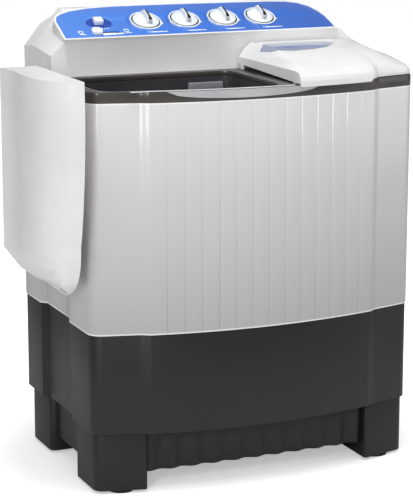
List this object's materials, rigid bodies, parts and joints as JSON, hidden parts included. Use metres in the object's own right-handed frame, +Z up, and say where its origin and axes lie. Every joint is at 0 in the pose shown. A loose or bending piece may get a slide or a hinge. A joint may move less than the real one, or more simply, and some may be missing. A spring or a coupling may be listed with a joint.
{
  "type": "twin tub washing machine",
  "caption": "Free-standing washer with a wash tub and a spin tub side by side under a sloping control panel, its wash lid hung on the left side.",
  "frame": {"origin": "on the floor, below the middle of the bounding box of the whole washer with its lid hung on the left side", "axes": "+X to the washer's right as seen from the front, +Y to its back, +Z up; the front faces -Y"},
  "size_m": [0.872, 0.5224, 1.0053],
  "materials": {
    "cabinet_grey": "satin grey paint",
    "charcoal": "dark moulded plastic",
    "band_grey": "dark warm grey moulded plastic",
    "white_cover": "white moulded plastic",
    "fascia_blue": "blue panel",
    "knob_white": "pearl white plastic",
    "trim_silver": "silver-grey plastic",
    "tub_plastic": "light grey plastic",
    "window_blue": "smoked clear plastic",
    "steel": "bright steel",
    "zinc_steel": "zinc-plated steel",
    "motor_grey": "grey paint",
    "cast_grey": "cast",
    "rubber": "black rubber",
    "belt_black": "black rubber belt"
  },
  "bodies": {
    "cabinet": {"cabinet_shell": "cabinet_grey", "rear_cover": "zinc_steel", "rear_screw_1": "zinc_steel", "rear_screw_2": "zinc_steel", "rear_screw_3": "zinc_steel", "rear_screw_4": "zinc_steel", "base_shell": "charcoal", "base_plate": "zinc_steel", "plinth": "charcoal", "foot_pad_front_left": "rubber", "foot_pad_front_right": "rubber", "foot_pad_back_left": "rubber", "foot_pad_back_right": "rubber", "top_frame": "band_grey", "front_rim": "white_cover", "grip_strip": "trim_silver", "console_housing": "white_cover", "fascia": "fascia_blue", "wash_timer_clockwork": "cast_grey", "wash_selector_switch": "cast_grey", "drain_selector_switch": "cast_grey", "spin_timer_clockwork": "cast_grey", "water_inlet": "white_cover", "cord_gland": "rubber", "lid_bracket_back": "steel", "lid_bracket_front": "steel", "spin_lug_left": "white_cover", "spin_lug_right": "white_cover", "wash_tub": "tub_plastic", "bearing_housing": "cast_grey", "lint_filter": "tub_plastic", "wash_motor": "motor_grey", "drive_belt": "belt_black", "drain_valve": "white_cover", "drain_hose": "rubber", "spin_outer_tub": "tub_plastic", "spin_seal": "rubber", "spin_motor": "motor_grey", "spin_spring_1": "steel", "spin_spring_2": "steel", "spin_spring_3": "steel"},
    "lid_carrier": {"lid_carrier": "steel"},
    "wash_lid": {"wash_lid": "white_cover", "lid_rail_back": "zinc_steel"},
    "spin_lid": {"spin_lid": "white_cover", "spin_window": "window_blue", "spin_hinge_rod": "steel"},
    "wash_timer_knob": {"wash_timer_knob": "knob_white"},
    "wash_selector_knob": {"wash_selector_knob": "knob_white"},
    "drain_selector_knob": {"drain_selector_knob": "knob_white"},
    "spin_timer_knob": {"spin_timer_knob": "knob_white"},
    "water_lever": {"water_lever": "knob_white"},
    "mode_slider": {"mode_slider": "knob_white"},
    "wash_drive": {"pulsator": "white_cover", "pulsator_shaft": "steel", "wash_pulley": "cast_grey"},
    "motor_pulley": {"wash_motor_pulley": "cast_grey"},
    "spin_drive": {"spin_basket": "steel", "spin_shaft": "steel", "brake_disc": "cast_grey"}
  },
  "joints": [
    {"name": "wash_lid_swing", "type": "hinge", "parent": "cabinet", "child": "lid_carrier", "pos_m": [-0.33, -0.0603, 0.8425], "axis": [0, 1, 0], "range_deg": [0, 90]},
    {"name": "wash_lid_slide", "type": "slide", "parent": "lid_carrier", "child": "wash_lid", "axis": [0, 0, 1], "range_m": [0, 0.398]},
    {"name": "spin_lid_hinge", "type": "hinge", "parent": "cabinet", "child": "spin_lid", "pos_m": [0.2625, 0.0457, 0.912], "axis": [-1, 0, 0], "range_deg": [0, 75]},
    {"name": "wash_timer_turn", "type": "hinge", "parent": "cabinet", "child": "wash_timer_knob", "pos_m": [-0.073, 0.11773, 0.97386], "axis": [0, -0.4384, 0.8988], "range_deg": [-315, 0]},
    {"name": "wash_selector_turn", "type": "hinge", "parent": "cabinet", "child": "wash_selector_knob", "pos_m": [0.02, 0.11773, 0.97386], "axis": [0, -0.4384, 0.8988], "range_deg": [-60, 60]},
    {"name": "drain_selector_turn", "type": "hinge", "parent": "cabinet", "child": "drain_selector_knob", "pos_m": [0.114, 0.11773, 0.97386], "axis": [0, -0.4384, 0.8988], "range_deg": [-60, 60]},
    {"name": "spin_timer_turn", "type": "hinge", "parent": "cabinet", "child": "spin_timer_knob", "pos_m": [0.206, 0.11773, 0.97386], "axis": [0, -0.4384, 0.8988], "range_deg": [-300, 0]},
    {"name": "water_lever_slide", "type": "slide", "parent": "cabinet", "child": "water_lever", "axis": [1, 0, 0], "range_m": [0, 0.014]},
    {"name": "mode_slider_slide", "type": "slide", "parent": "cabinet", "child": "mode_slider", "axis": [1, 0, 0], "range_m": [0, 0.044]},
    {"name": "pulsator_turn", "type": "hinge", "parent": "cabinet", "child": "wash_drive", "pos_m": [-0.1, -0.0963, 0.48], "axis": [0, 0, 1], "continuous": true},
    {"name": "motor_pulley_turn", "type": "hinge", "parent": "cabinet", "child": "motor_pulley", "pos_m": [-0.194, 0.1187, 0.359], "axis": [0, 0, 1], "continuous": true},
    {"name": "spin_turn", "type": "hinge", "parent": "cabinet", "child": "spin_drive", "pos_m": [0.278, -0.0763, 0.43], "axis": [0, 0, 1], "continuous": true}
  ],
  "couplings": [
    {"joint": "motor_pulley_turn", "follows": "pulsator_turn", "ratio": 3.596}
  ]
}
